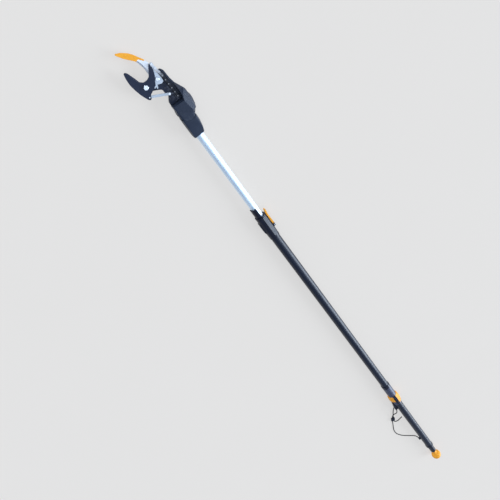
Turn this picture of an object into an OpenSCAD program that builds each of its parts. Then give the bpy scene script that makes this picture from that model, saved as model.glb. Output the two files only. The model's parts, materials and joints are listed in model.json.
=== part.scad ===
// Tree pruner pole: a telescopic pole with a tilting head, a gear driven
// bypass blade and a slide handle. Lies on its back with the pole along X,
// the head towards +X and the blade on the +Y side. Millimetres.

/* [Pole] */
// Outside diameter of the outer tube
outer_od = 32; // [28:0.5:34]
// Wall of the outer tube
outer_wall = 1.6; // [1:0.1:2.5]
// Length of the outer tube
outer_len = 1592; // [1500:1:1800]
// Outside diameter of the inner tube
inner_od = 24; // [20:0.5:26]
// Wall of the inner tube
inner_wall = 1.5; // [1:0.1:2.5]
// Length of the inner tube
inner_len = 1340; // [900:5:1400]
// Length of inner tube in view when the pole is short
inner_show = 302; // [200:1:400]
// Running clearance of sliding fits, on the radius
slide_gap = 0.05; // [0.02:0.01:0.1]
// Length of the guide bush on the foot of the inner tube
foot_bush_len = 36; // [20:1:60]

/* [Clamp] */
// Outside diameter of the clamp collar
collar_od = 37; // [35:0.5:42]
// Length of the clamp collar
collar_len = 97; // [80:1:130]
// Length of the tongue above the collar
tongue_len = 36; // [20:1:45]
// Length of the locking lever from its pin
clamp_lever_len = 64; // [45:1:80]
// Thickness of the locking lever
clamp_lever_t = 5; // [3:0.5:8]
// Width of the locking lever
clamp_lever_w = 17; // [12:1:22]
// Diameter of the lever pin
clamp_pin_d = 4; // [3:0.5:5]

/* [Head base] */
// Length of the base from the tube end to the tilt axis
base_len = 80; // [70:1:100]
// Height of the base and the head housing
head_h = 42; // [40:0.5:50]
// Width of the base at the tube end
base_end_w = 32; // [29:0.5:36]
// Width of the base beside the tilt joint
base_top_w = 44; // [38:0.5:50]
// Length of inner tube held inside the base
tube_grip = 34; // [20:1:40]
// Length of the flat rest face under the base
foot_len = 40; // [20:1:50]
// Width of the flat rest face under the base
foot_w = 18; // [10:1:24]

/* [Tilt joint] */
// Sideways offset of the tilt axis from the pole axis
tilt_y = -8; // [-10:0.5:-4]
// Radius of the round cheeks
cheek_r = 27; // [24:0.5:30]
// Radius of the tongue between the cheeks
tilt_tongue_r = 22; // [18:0.5:24]
// Thickness of the tongue
tilt_tongue_t = 20; // [14:0.5:24]
// Angle that the head tilts
tilt_range = 60; // [30:5:60]
// Diameter of the tilt bolt
tilt_bolt_d = 10; // [8:0.5:12]

/* [Cutter] */
// Distance of the blade pivot ahead of the tilt axis
blade_ahead = 112; // [105:1:120]
// Sideways offset of the blade pivot from the pole axis
blade_y = 41; // [39:0.5:44]
// Distance of the lever pivot ahead of the tilt axis
lever_ahead = 111; // [109:1:113]
// Pitch radius of the blade gear
blade_gear_r = 13.5; // [12.5:0.1:14]
// Pitch radius of the lever gear
lever_gear_r = 24.1; // [23:0.1:25]
// Circular pitch of the gear teeth
gear_pitch = 6.9; // [6:0.1:7.5]
// Thickness of the blade and the lever
blade_t = 3.2; // [2:0.1:4]
// Thickness of the hook
hook_t = 5; // [3.5:0.5:7]
// Thickness of the chassis plate
chassis_t = 3; // [2:0.5:4]
// Thickness of the tip guard over the blade on each side
guard_t = 1.2; // [0.8:0.1:2]
// Diameter of the blade bolt
blade_bolt_d = 8; // [6:0.5:9]
// Diameter of the lever bolt
lever_bolt_d = 7; // [5:0.5:8]
// Width of the brace bar
brace_w = 7; // [5:0.5:9]

/* [Chain] */
// Pitch of the drive chain
chain_pitch = 13.4; // [12:0.1:13.4]
// Number of chain links
chain_links = 8; // [6:1:8]
// Width of a chain plate
chain_plate_w = 8; // [7:0.1:8.2]
// Diameter of the chain pins
chain_pin_d = 3.5; // [2.5:0.1:4]

/* [Handle] */
// Distance from the outer tube's lower end to the top of the handle's stop ring
handle_from_end = 566; // [540:1:640]
// Outside diameter of the handle sleeve
sleeve_od = 36; // [35:0.5:38]
// Length of the handle sleeve
sleeve_len = 133; // [120:1:180]
// Width over both wings
wings_w = 48; // [46:0.5:56]
// Height of the wings
wings_h = 42; // [40:0.5:44]
// Length of the right wing
right_wing_len = 58; // [50:1:64]
// Length of the left wing
left_wing_len = 40; // [38:1:46]
// Travel of the slide handle
handle_travel = 200; // [120:5:220]
// Width of the slot under the outer tube
slot_w = 8; // [6:0.5:10]

/* [End knob] */
// Radius of the end ball
ball_r = 22; // [21:0.5:24]
// Length of the end cap's neck
neck_len = 56; // [40:1:70]
// Diameter of the end cap's neck
neck_d = 26; // [22:0.5:28]
// Length of the ball's own neck
ball_neck_len = 25; // [10:1:30]
// Diameter of the ball's own neck
ball_neck_d = 19; // [14:0.5:21]
// Travel of the end ball
ball_travel = 300; // [150:10:400]

/* [Cord] */
// Diameter of the cord
cord_d = 4; // [2:0.5:4]

/* [Hidden] */
$fn = 48;

// Colours
black = [0.06, 0.065, 0.08];
charcoal = [0.13, 0.135, 0.16];
orange = [0.95, 0.55, 0.1];
steel = [0.72, 0.75, 0.8];
alloy = [0.78, 0.83, 0.9];

// Small clearances that faces of different bodies keep
gap = 0.3;
wide_gap = 0.6;
eps = 0.02;

// The pole lies level, so its axis is as high as the ball's radius
axis_h = ball_r;

// Stations along the pole
base_end_x = -base_len / 2;
tilt_x = base_len / 2;
clamp_top_x = base_end_x - inner_show;
collar_top_x = clamp_top_x - tongue_len;
collar_end_x = collar_top_x - collar_len;
bush_len = 14;
outer_top_x = collar_top_x - bush_len;
outer_end_x = outer_top_x - outer_len;
inner_top_x = base_end_x + tube_grip;
inner_end_x = inner_top_x - inner_len;
ring_len = 16;
ring_x = outer_end_x + handle_from_end;
sleeve_top_x = ring_x - ring_len;
sleeve_end_x = sleeve_top_x - sleeve_len;
outer_id = outer_od - 2 * outer_wall;
inner_id = inner_od - 2 * inner_wall;

// Centres of the tilt joint and of the two cutter pivots
tilt = [tilt_x, tilt_y];
blade_c = [tilt_x + blade_ahead, blade_y];
lever_c = [tilt_x + lever_ahead, blade_y - sqrt(pow(blade_gear_r + lever_gear_r, 2)
    - pow(lever_ahead - blade_ahead, 2))];
mesh_angle = atan2(blade_c.y - lever_c.y, blade_c.x - lever_c.x);

// Layers of the head, from the floor up
tongue_z0 = axis_h - tilt_tongue_t / 2 - 1;
tongue_z1 = tongue_z0 + tilt_tongue_t;
housing_z0 = 2;
split_z = axis_h;
chassis_drop = 8.5;
floor_z = axis_h - chassis_drop;
chassis_z = floor_z + chassis_t;
washer_t = 2.8;
blade_z = chassis_z + washer_t + gap;
blade_top = blade_z + blade_t;
hook_z = blade_top + gap;
hook_top = hook_z + hook_t;
hub_top = blade_top + 1.8;

// Chain: from the pin on the lever's tip, with a slight bend where it enters the channel
chain_start = lever_c + [38.5, -10.6];
chain_bend = 3;
chain_aim = 188.6;
channel_aim = 181.6;
plate_t = 1.2;
chain_low_z = blade_z - gap - plate_t;
chain_high_z = blade_top + gap;

// Gear teeth
tooth_out = 1.6;
tooth_in = 2.2;
tooth_tip_w = 1.6;
tooth_root_w = 3.6;

// Handle parts
saddle_w = 13;
saddle_len = right_wing_len + 2;
wings_front_x = sleeve_end_x + 66;
right_back_x = wings_front_x - right_wing_len;
left_back_x = wings_front_x - left_wing_len;
wing_gap = 0.5;
wing_edge_r = 10;
shuttle_len = 14;
shuttle_x = sleeve_top_x - sleeve_len / 2;
lug_front_x = left_back_x + 6;
lug_eye = [sleeve_end_x - 30, outer_od / 2 + 8];

// Cord, from the sleeve's end: a tail, a narrow loop through the lug's eye, the toggle and the run to
// the eyelet
cord_route = [for (p = [
    [-135, 23, 2.2], [-138, 36, 2.2], [-139, 49, 2.2], [-134, 59.5, 2.2], [-123, 63.5, 3.4],
    [-110.5, 62.1, 5], [-97.5, 56.6, 5.2], [-81, 50.3, 5.4], [-66, 43.7, 5.8], [-52, 36.4, 6.8],
    [-39.8, 29.7, 8.6], [-34.5, 26.7, 10.9], [-31.2, 24.75, 15], [-30, 24, 20], [-30, 24, 25.2],
    [-31.3, 25.1, 30.4], [-34.5, 27.7, 34.3], [-39.2, 31.6, 35.5], [-43.8, 35, 33.4], [-51.5, 40.4, 27],
    [-61, 46.4, 19], [-72.5, 52.2, 12], [-86, 58.5, 7.4], [-102.5, 65.1, 5.3], [-112.5, 68.6, 5],
    [-124, 72, 3], [-139, 77, 2.2], [-157, 83.5, 2.2], [-177, 89.5, 2.2], [-195, 91.3, 2.2],
    [-213, 89.5, 2.2], [-233, 83, 2.2], [-255, 72, 2.2], [-276, 57.5, 2.2], [-296, 42.3, 2.3],
    [-307.8, 33.4, 2.8], [-314.6, 28.3, 4.2], [-319.6, 24.5, 7.2], [-323.3, 21.8, 11.8],
    [-325, 20.5, 17]]) p + [sleeve_end_x, 0, 0]];
cord_sides = 8;
eyelet_x = sleeve_end_x - 325;
toggle_c = [sleeve_end_x - 104, 62.9];

// Corner p1 of a polygon, rounded with radius r between its neighbours
function unit(v) = v / norm(v);
function corner(p0, p1, p2, r, steps) =
    r == 0 ? [p1] :
    let (a = unit(p0 - p1), b = unit(p2 - p1), half = acos(max(-1, min(1, a * b))) / 2)
    half > 89.5 ? [p1] :
    let (reach = min(r / tan(half), 0.49 * norm(p0 - p1), 0.49 * norm(p2 - p1)), rr = reach * tan(half),
        c = p1 + unit(a + b) * rr / sin(half), s = p1 + a * reach - c, e = p1 + b * reach - c,
        a0 = atan2(s.y, s.x), turn = atan2(s.x * e.y - s.y * e.x, s * e))
    [for (i = [0:steps]) c + rr * [cos(a0 + turn * i / steps), sin(a0 + turn * i / steps)]];

// Outline with rounded corners: each point is [x, y, radius]
function flat2(p) = [p.x, p.y];
function rounded(pts, steps = 7) = let (n = len(pts)) [for (i = [0:n - 1])
    each corner(flat2(pts[(i + n - 1) % n]), flat2(pts[i]), flat2(pts[(i + 1) % n]), pts[i].z, steps)];

// Outline given as offsets from a centre
function around(c, pts) = [for (p = pts) [c.x + p.x, c.y + p.y, p.z]];

module plate(pts, z0, t) {
    translate([0, 0, z0]) linear_extrude(t) polygon(rounded(pts));
}

// Post along Z
module post(c, d, z0, z1) {
    translate([c.x, c.y, z0]) cylinder(d = d, h = z1 - z0);
}

// Bar along the pole axis, from x0 down to x1
module rod(d, x0, x1) {
    translate([x1, 0, axis_h]) rotate([0, 90, 0]) cylinder(d = d, h = x0 - x1);
}

// Convex body with rounded upper and lower edges
module pillow(z0, z1, edge) {
    hull() for (s = [0, 1], a = [0, 45, 90])
        translate([0, 0, s == 0 ? z0 + edge * (1 - cos(a)) : z1 - edge * (1 - cos(a)) - eps])
            linear_extrude(eps) offset(delta = -edge * (1 - sin(a))) children();
}

// Pole

module outer_tube() color(black) difference() {
    rod(outer_od, outer_top_x, outer_end_x);
    rod(outer_id, outer_top_x + 1, outer_end_x - 1);
    slot_cut();
}

// Slot for the shuttle on the underside
module slot_cut() {
    slot_x0 = shuttle_x + shuttle_len / 2 + 2;
    slot_x1 = shuttle_x - shuttle_len / 2 - handle_travel - 2;
    translate([slot_x1, -slot_w / 2, -1]) cube([slot_x0 - slot_x1, slot_w, axis_h - outer_id / 4]);
}

clamp_pin_c = [collar_top_x - 54, -collar_od / 2 - 3.5];
ear_t = 3.5;
ear_z = clamp_lever_w / 2 - 1.5;

module clamp_collar() color(black) difference() {
    union() {
        rod(collar_od, collar_top_x, collar_end_x + 30);
        collar_taper();
        collar_tongue();
        collar_rib();
        collar_pad();
        for (s = [-1, 1]) clamp_ear(s);
    }
    rod(outer_od, outer_top_x, collar_end_x - 1);
    rod(inner_od + 2 * wide_gap, clamp_top_x + 1, outer_top_x - 1);
    rod(bush_od, collar_top_x - 2, outer_top_x - 1);
    post(clamp_pin_c, clamp_pin_d, 0, 2 * axis_h);
}

module collar_taper() {
    translate([collar_end_x, 0, axis_h]) rotate([0, 90, 0])
        cylinder(d1 = outer_od + 3, d2 = collar_od, h = 30);
}

// Tongue along the inner tube, open on the lever's side
module collar_tongue() {
    intersection() {
        rod(inner_od + 7, clamp_top_x, collar_top_x);
        translate([collar_top_x, -2, axis_h - 5]) cube([tongue_len, 40, axis_h]);
    }
}

// Rib along the side away from the lever
module collar_rib() {
    plate([[collar_top_x - 12, 0, 0], [collar_top_x - 24, collar_od / 2 + 2, 4],
        [collar_end_x + 36, collar_od / 2 + 2, 8], [collar_end_x + 6, 0, 0]], axis_h - 9, 18);
}

// Flat pad on top, turned a little to the lever's side
module collar_pad() {
    translate([collar_end_x + 14, 0, axis_h]) rotate([pad_turn, 0, 0])
        translate([0, -pad_w / 2, 0]) cube([collar_len - 18, pad_w, collar_od / 2 + 0.8]);
}

pad_turn = 24;
pad_w = 14;

module clamp_ear(s) {
    z0 = axis_h + (s > 0 ? ear_z : -ear_z - ear_t);
    plate([[clamp_pin_c.x - 7, 0, 0], [clamp_pin_c.x + 7, 0, 0],
        [clamp_pin_c.x + 4, clamp_pin_c.y - 3.2, 3],
        [clamp_pin_c.x - 4, clamp_pin_c.y - 3.2, 3]], z0, ear_t);
}

bush_od = inner_od + 4;

module guide_bush() color(charcoal) difference() {
    rod(bush_od, collar_top_x - 2, outer_top_x);
    rod(inner_od + 2 * slide_gap, collar_top_x, outer_top_x - 1);
}

module clamp_pin() color(steel) {
    post(clamp_pin_c, clamp_pin_d, axis_h - ear_z - ear_t - 0.5, axis_h + ear_z + ear_t + 0.5);
}

barrel_r = 3;

module clamp_lever() color(orange) {
    low = axis_h - ear_z + gap;
    high = axis_h + ear_z - gap;
    tip_x = clamp_pin_c.x + clamp_lever_len;
    in_y = clamp_pin_c.y + barrel_r;
    out_y = in_y - clamp_lever_t;
    difference() {
        union() {
            post(clamp_pin_c, 2 * barrel_r, low, high);
            plate([[clamp_pin_c.x, in_y, 0], [tip_x - 14, in_y, 20], [tip_x, in_y - 3.5, 1.2],
                [tip_x - 1, out_y - 2.5, 2], [tip_x - 18, out_y, 20],
                [clamp_pin_c.x, clamp_pin_c.y - barrel_r, 0]],
                low, high - low);
        }
        post(clamp_pin_c, clamp_pin_d + 2 * slide_gap, 0, 2 * axis_h);
    }
}

module stop_ring() color(black) {
    rotate_about_pole() polygon([[outer_od / 2, ring_x - ring_len],
        [sleeve_od / 2 + 0.5, ring_x - ring_len], [sleeve_od / 2 + 0.5, ring_x - 3],
        [sleeve_od / 2 - 1, ring_x], [outer_od / 2, ring_x]]);
}

// Turns a profile of [radius, x] about the pole axis
module rotate_about_pole() {
    translate([0, 0, axis_h]) rotate([0, 90, 0]) rotate_extrude() children();
}

eyelet_y = outer_od / 2 + 4.5;

module cord_eyelet() color(charcoal) difference() {
    plate([[eyelet_x - 10, 0, 0], [eyelet_x - 5, eyelet_y + 3, 3], [eyelet_x + 4, eyelet_y + 3, 3],
        [eyelet_x + 9, 0, 0]], axis_h - 4, 8);
    rod(outer_od, eyelet_x + 30, eyelet_x - 30);
}

cap_ring_len = 12;
neck_end_x = outer_end_x - neck_len;
strap_w = 10;
strap_t = 2;
ball_x = neck_end_x - gap - ball_neck_len - sqrt(ball_r * ball_r - ball_neck_d * ball_neck_d / 4);

module end_cap() color(charcoal) difference() {
    rotate_about_pole() polygon([[0, neck_end_x], [neck_d / 2, neck_end_x],
        [neck_d / 2 + 1, outer_end_x - 6], [outer_od / 2 + 1.5, outer_end_x - 3],
        [outer_od / 2 + 1.5, outer_end_x + cap_ring_len - 2],
        [outer_od / 2, outer_end_x + cap_ring_len], [outer_od / 2, outer_end_x],
        [outer_id / 2, outer_end_x], [outer_id / 2, outer_end_x + 20], [0, outer_end_x + 20]]);
    strap_hole();
}

module strap_hole() {
    w = strap_w + 2 * wide_gap;
    t = strap_t + 2 * wide_gap;
    translate([neck_end_x - 1, -w / 2, axis_h - t / 2]) cube([neck_len + 30, w, t]);
}

module end_ball() color(orange) difference() {
    union() {
        translate([ball_x, 0, axis_h]) rotate([0, 90, 0]) sphere(r = ball_r, $fn = 64);
        rod(ball_neck_d, neck_end_x - gap, ball_x);
    }
    translate([ball_x, -strap_w / 2, axis_h - strap_t / 2])
        cube([ball_r + ball_neck_len + 10, strap_w, strap_t]);
}

module ball_strap() color(black)
    translate([ball_x, -strap_w / 2, axis_h - strap_t / 2])
        cube([ball_r + ball_neck_len + neck_len + ball_travel + 20, strap_w, strap_t]);

// Mast: inner tube and head base

module inner_tube() color(alloy) difference() {
    rod(inner_od, inner_top_x, inner_end_x);
    rod(inner_id, inner_top_x + 1, inner_end_x - 1);
    post(tube_pin_c, tube_pin_d, 0, 2 * axis_h);
}

module foot_bush() color(charcoal) difference() {
    rod(outer_id - 2 * slide_gap, inner_end_x + foot_bush_len, inner_end_x);
    rod(inner_od, inner_end_x + foot_bush_len + 1, inner_end_x - 1);
}

// Sides of the base beside the tilt joint, and the size of its rounded edges
base_left = base_top_w / 2 - 3.5;
base_right = -base_top_w / 2 - 4;
base_edge = 9;
joint_gap = 0.35;

tube_pin_d = 4;
tube_pin_c = [base_end_x + tube_grip / 2, 0];
base_wall = 3;

module tube_pin() color(steel)
    post(tube_pin_c, tube_pin_d, axis_h - inner_od / 2 - base_wall, axis_h + inner_od / 2 + base_wall);

// Outline of the base from the tube's end to beside the tilt joint
module base_outline() {
    polygon(rounded([[base_end_x, -base_end_w / 2, 4], [base_end_x + 14, -base_end_w / 2 - 5, 12],
        [tilt_x - 46, -base_top_w / 2 - 3, 20], [tilt_x - 24, base_right, 2],
        [tilt_x - 13.5, base_left, 1], [tilt_x - 45, base_left + 0.5, 20],
        [base_end_x + 5, base_left + 0.3, 6], [base_end_x, base_end_w / 2 + 0.5, 3]], 2));
}

module base_solid() {
    difference() {
        intersection() {
            pillow(0, head_h, base_edge) base_outline();
            base_side_view();
        }
        post(tilt, 2 * (cheek_r + joint_gap), -1, head_h + 1);
    }
    tilt_tongue();
}

// The top slopes down to the tube, and the underside is flat under the rest face only
module base_side_view() {
    rotate([90, 0, 0]) translate([0, 0, -50]) linear_extrude(100) polygon([[base_end_x, 4],
        [-foot_len / 2, 0], [foot_len / 2, 0], [tilt_x, 0], [tilt_x, head_h], [0, head_h],
        [base_end_x, head_h - 4]]);
}

// Neck of the tongue, between the base and the tilt axis
tongue_neck_w = 26;
tongue_neck_y = -9;

module tilt_tongue() {
    post(tilt, 2 * tilt_tongue_r, tongue_z0, tongue_z1);
    translate([tilt_x - cheek_r - 6, tilt_y + tongue_neck_y, tongue_z0])
        cube([cheek_r + 6, tongue_neck_w, tilt_tongue_t]);
}

base_screw_spots = [for (x = [base_end_x + 8, 8], s = [-1, 1])
    [x, s * (x < 0 ? inner_od / 2 + 1.5 : base_top_w / 2 - 8) + (x < 0 ? 0 : -1.5)]];
base_screw_d = 2.4;
base_screw_head = 4.4;
base_screw_z = 5;

module base_screw(c, more = 0) {
    post(c, base_screw_d, base_screw_z, head_h - 10);
    post(c, base_screw_head, base_screw_z - 2 - more, base_screw_z);
}

module base_cuts() {
    rod(inner_od, inner_top_x, base_end_x - 1);
    rod(inner_id - 6, tilt_x - cheek_r, base_end_x);
    post(tube_pin_c, tube_pin_d, axis_h - inner_od / 2 - base_wall, axis_h + inner_od / 2 + base_wall);
    post(tilt, tilt_bolt_d + 2 * slide_gap, 0, head_h);
    for (c = base_screw_spots) base_screw(c, 10);
}

module base_upper() color(charcoal) difference() {
    base_solid();
    base_cuts();
    translate([-200, -100, -1]) cube([400, 200, split_z + 1]);
}

module base_lower() color(charcoal) difference() {
    base_solid();
    base_cuts();
    translate([-200, -100, split_z]) cube([400, 200, 100]);
}

module base_screws() color(steel) for (c = base_screw_spots) base_screw(c);

// Head housing

bolt_head_t = 3;
bolt_head_d = tilt_bolt_d + 7;
bolt_head_z = housing_z0 + 0.8;
tilt_nut_t = 6;
tilt_nut_z = tongue_z1 + wide_gap;

// The bolt goes in from below, into a nut that the upper cover holds
module tilt_bolt() color(charcoal) {
    post(tilt, tilt_bolt_d, bolt_head_z, tilt_nut_z + tilt_nut_t);
    post(tilt, bolt_head_d, bolt_head_z, bolt_head_z + bolt_head_t);
}

module tilt_nut_hex(z0, t) {
    translate([tilt.x, tilt.y, z0]) cylinder(d = tilt_bolt_d + 8, h = t, $fn = 6);
}

module tilt_nut() color(steel) difference() {
    tilt_nut_hex(tilt_nut_z, tilt_nut_t);
    post(tilt, tilt_bolt_d, 0, head_h);
}

// Shoulder of the cover: a bulge on the right with a crease along its crest, and a step down to the
// joint's disc
lip_x = tilt_x + cheek_r + 1;
housing_edge = 6;
crest_z = head_h + 3;
bulge_z = axis_h + 2;
bulge_high_z = head_h - 6;
front = lip_x - tilt_x;
shoulder_left = 24.2;
shoulder_right = -37.2;
wall_points = [[-17.5, -21.5], [-12.5, -29.8], [-1.7, -33.9], [14.6, -37], [front, shoulder_right],
    [front, shoulder_left], [17.1, shoulder_left]];
bulge_points = [[-15.8, -19.2, bulge_high_z], [-10, -25, bulge_high_z], [-1, -28.8, bulge_high_z],
    [14.6, -31, bulge_high_z], [front, -31, bulge_high_z], [front, 23.9, head_h - 2.1],
    [16.8, 23.9, head_h - 2.1]];
crest_points = [[-13, -15.6, crest_z - 0.2], [-9.5, -16.3, crest_z - 0.1], [-5.5, -16.8, crest_z],
    [14.6, -14, crest_z], [front, -12.1, crest_z], [front, 17.5, head_h + 0.5], [12, 17.5, head_h + 0.3]];

// Solid through rings of equally many points, each ring anticlockwise from above and the lowest first
module ring_solid(rings) {
    n = len(rings[0]);
    top = (len(rings) - 1) * n;
    walls = [for (i = [0:len(rings) - 2], k = [0:n - 1]) let (a = i * n + k, b = i * n + (k + 1) % n)
        each [[a, b + n, b], [a, a + n, b + n]]];
    polyhedron([for (r = rings) each r], concat(walls, [[for (k = [0:n - 1]) k]],
        [for (k = [0:n - 3]) [top + n - 1, top + k + 1, top + k]]));
}

function ring_at(points, z, scale) = [for (p = points) [scale * p.x, scale * p.y, z]];

module shoulder_bulge() {
    translate([tilt_x, tilt_y, 0]) ring_solid([ring_at(wall_points, housing_z0 + 0.5, 0.84),
        ring_at(wall_points, housing_z0 + housing_edge, 1), ring_at(wall_points, bulge_z, 1), bulge_points,
        crest_points]);
}

// Disc of the tilt joint, with the base's own section so that the two lie flush
module joint_disc() {
    inset = base_edge * (1 - sin(45));
    drop = base_edge * (1 - cos(45));
    intersection() {
        post(tilt, 2 * cheek_r, housing_z0, head_h);
        rotate([90, 0, 90]) linear_extrude(200) polygon([[base_left - base_edge, head_h],
            [base_left - inset, head_h - drop], [base_left, head_h - base_edge],
            [base_left, housing_z0 + base_edge], [base_left - inset, housing_z0 + drop],
            [base_left - base_edge, housing_z0], [-50, housing_z0], [-50, head_h - base_edge],
            [base_right, head_h - base_edge], [base_right + inset, head_h - drop],
            [base_right + base_edge, head_h]]);
    }
}

module shoulder() {
    shoulder_bulge();
    joint_disc();
}

// Outline of the tray that carries the chassis, ahead of the lip
tray_points = [[lip_x - 6, tilt_y - 36, 4], [tilt_x + 44, tilt_y - 36, 16], [tilt_x + 74, tilt_y - 22, 30],
    [tilt_x + 92, tilt_y - 18.3, 40], [tilt_x + 117, tilt_y - 17, 6], [tilt_x + 125, tilt_y - 12, 4],
    [tilt_x + 126, tilt_y - 6, 4], [tilt_x + 76, tilt_y + 13, 6], [tilt_x + 62, tilt_y + 8.5, 3],
    [tilt_x + 56, tilt_y + 11.5, 3], [tilt_x + 40, tilt_y + 22.5, 8], [lip_x - 6, tilt_y + 23.6, 2]];
tray_z = housing_z0 + 4;

// Ridge along the right side of the chain: its outline from above, its top as [x, z] and its section as
// [y, z]
ridge_points = [[lip_x - 10, tilt_y - 36, 4], [tilt_x + 42, tilt_y - 34.5, 16],
    [tilt_x + 58, tilt_y - 28, 20], [tilt_x + 76, tilt_y - 21.6, 2], [tilt_x + 73, tilt_y - 19, 2],
    [tilt_x + 56, tilt_y - 18, 20], [tilt_x + 40, tilt_y - 16.3, 16], [lip_x, tilt_y - 12.2, 4],
    [lip_x - 10, tilt_y - 12.2, 4]];
ridge_top = [[lip_x - 5, crest_z - 0.3, 0], [lip_x, crest_z - 0.3, 10],
    [tilt_x + 40, crest_z - 3, 20], [tilt_x + 58, crest_z - 11, 20], [tilt_x + 77, floor_z, 6],
    [tilt_x + 77, tray_z, 0], [lip_x - 5, tray_z, 0]];
ridge_section = [[tilt_y, tray_z], [tilt_y, crest_z], [tilt_y - 12.1, crest_z], [tilt_y - 31, bulge_high_z],
    [tilt_y + shoulder_right, bulge_z], [tilt_y + shoulder_right, tray_z]];

module ridge() {
    intersection() {
        plate(ridge_points, tray_z, crest_z);
        rotate([90, 0, 0]) translate([0, 0, -100]) linear_extrude(200) polygon(rounded(ridge_top));
        rotate([90, 0, 90]) linear_extrude(200) polygon(ridge_section);
    }
}

// Low rim on the tray, between the chain and the right edge
rim_points = [[tilt_x + 70, tilt_y - 23, 2], [tilt_x + 92, tilt_y - 17.6, 40],
    [tilt_x + 116.5, tilt_y - 16.4, 5], [tilt_x + 124, tilt_y - 11.8, 3],
    [tilt_x + 121, tilt_y - 10.5, 1], [tilt_x + 115, tilt_y - 12.6, 4],
    [tilt_x + 92, tilt_y - 13.6, 40], [tilt_x + 70, tilt_y - 18.4, 2]];

module rim() plate(rim_points, floor_z - 1, chassis_t + 0.8);

// Room for the tongue of the base, open over the whole sweep of its neck as the head tilts
module tongue_room() {
    z0 = tongue_z0 - gap;
    z1 = tongue_z1 + gap;
    low = tongue_neck_y - 1;
    high = tongue_neck_y + tongue_neck_w + 1;
    far = 60;
    corner = high * [sin(tilt_range), cos(tilt_range)];
    end = corner + far * [-cos(tilt_range), sin(tilt_range)];
    post(tilt, 2 * (tilt_tongue_r + wide_gap), z0, z1);
    translate([tilt_x, tilt_y, z0]) linear_extrude(z1 - z0)
        polygon([[0, low], corner, end, [-far, end.y], [-far, low]]);
}

module housing_cuts() {
    tongue_room();
    post(tilt, tilt_bolt_d, 0, tilt_nut_z + tilt_nut_t);
    post(tilt, bolt_head_d, -1, bolt_head_z + bolt_head_t);
    tilt_nut_hex(tongue_z1, tilt_nut_z - tongue_z1 + tilt_nut_t);
    for (c = chassis_screw_spots) chassis_screw(c);
    post(blade_c, 16, 0, floor_z + 1);
    post(lever_c, lever_nut_d + 1, 0, floor_z + 1);
}

module housing_upper() color(charcoal) difference() {
    union() {
        shoulder();
        ridge();
    }
    housing_cuts();
    translate([-100, -100, -1]) cube([400, 300, split_z + 1]);
}

module housing_lower() color(charcoal) difference() {
    union() {
        intersection() {
            union() {
                shoulder();
                ridge();
            }
            translate([-100, -100, 0]) cube([400, 300, split_z]);
        }
        plate(tray_points, tray_z, floor_z - tray_z);
        rim();
    }
    housing_cuts();
}

// Cutter

chassis_screw_spots = [[tilt_x + 78, tilt_y + 8], [tilt_x + 112, tilt_y - 9], [tilt_x + 47, tilt_y + 14]];
chassis_screw_d = 3;

module chassis_screw(c) {
    post(c, chassis_screw_d, floor_z - 6, chassis_z - 1);
    post(c, chassis_screw_d + 2.5, chassis_z - 1, chassis_z + eps);
}

// Guide rail beside the chain
rail_y = tilt_y + 1.6;
rail_w = 1.6;
rail_h = 3;
rail_len = 36;

module chassis() color(black) difference() {
    union() {
        plate([[lip_x + 2, tilt_y - 12, 3], [tilt_x + 90, tilt_y - 11, 10], [tilt_x + 118, tilt_y - 9, 6],
            [lever_c.x + 14, lever_c.y + 4, 8], [blade_c.x + 6, blade_c.y - 4, 6],
            [blade_c.x + 4, blade_c.y + 11, 6], [blade_c.x - 10, blade_c.y + 10, 6],
            [blade_c.x - 20, blade_c.y - 9.5, 8], [tilt_x + 84.5, tilt_y + 25, 12],
            [tilt_x + 79, tilt_y + 16.5, 8], [tilt_x + 68, tilt_y + 16.5, 4],
            [tilt_x + 63, tilt_y + 9, 2], [tilt_x + 56.5, tilt_y + 10.5, 3],
            [tilt_x + 48, tilt_y + 16, 10], [tilt_x + 40, tilt_y + 19.8, 4],
            [lip_x + 2, tilt_y + 19.8, 3]], floor_z, chassis_t);
        translate([lip_x + 4, rail_y, chassis_z - 1]) cube([rail_len, rail_w, rail_h + 1]);
    }
    for (c = chassis_screw_spots) chassis_screw(c);
    post(blade_c, blade_bolt_d, 0, 50);
    post(lever_c, lever_bolt_d, 0, 50);
    post(brace_foot, brace_screw_d, 0, 50);
}

module chassis_screws() color(steel) for (c = chassis_screw_spots) intersection() {
    chassis_screw(c);
    translate([c.x - 10, c.y - 10, 0]) cube([20, 20, chassis_z]);
}

// Offsets from the blade bolt: the prong, the round throat, the beak, its back and the tail
hook_points = [[41.6, -45, 1], [42.4, -43, 1], [16.2, -22.6, 8], [13.2, -14, 10], [13.6, -3, 8], [21, 5, 8],
    [34.7, 8.7, 40], [57, 16.2, 20], [62.2, 21, 2.5], [60.8, 25.6, 4], [45.8, 28.8, 60],
    [27.9, 29.8, 60], [12.1, 27.4, 60], [-5.2, 23.6, 60], [-16.9, 19.4, 40], [-29.5, 14.4, 3],
    [-33.3, 9.5, 2], [-31.6, 6, 2.5], [-22, 0.5, 4], [-18.3, -8, 6], [-13.7, -17, 6], [-10.5, -25, 4],
    [-3.4, -28.4, 8], [5.7, -35.5, 20], [16.4, -40.9, 30], [25.2, -43.7, 20], [32, -44.5, 6],
    [36.4, -43.6, 4]];
tail = blade_c + [-26.5, 8];
brace_foot = [tilt_x + 59, tilt_y + 7.5];
brace_screw_d = 4;
brace_t = 3;
bolt_cap_t = 3.6;

module hook() color(black) difference() {
    plate(around(blade_c, hook_points), hook_z, hook_t);
    post(blade_c, blade_bolt_d, 0, 50);
    post(tail, brace_screw_d, 0, 50);
}

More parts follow.
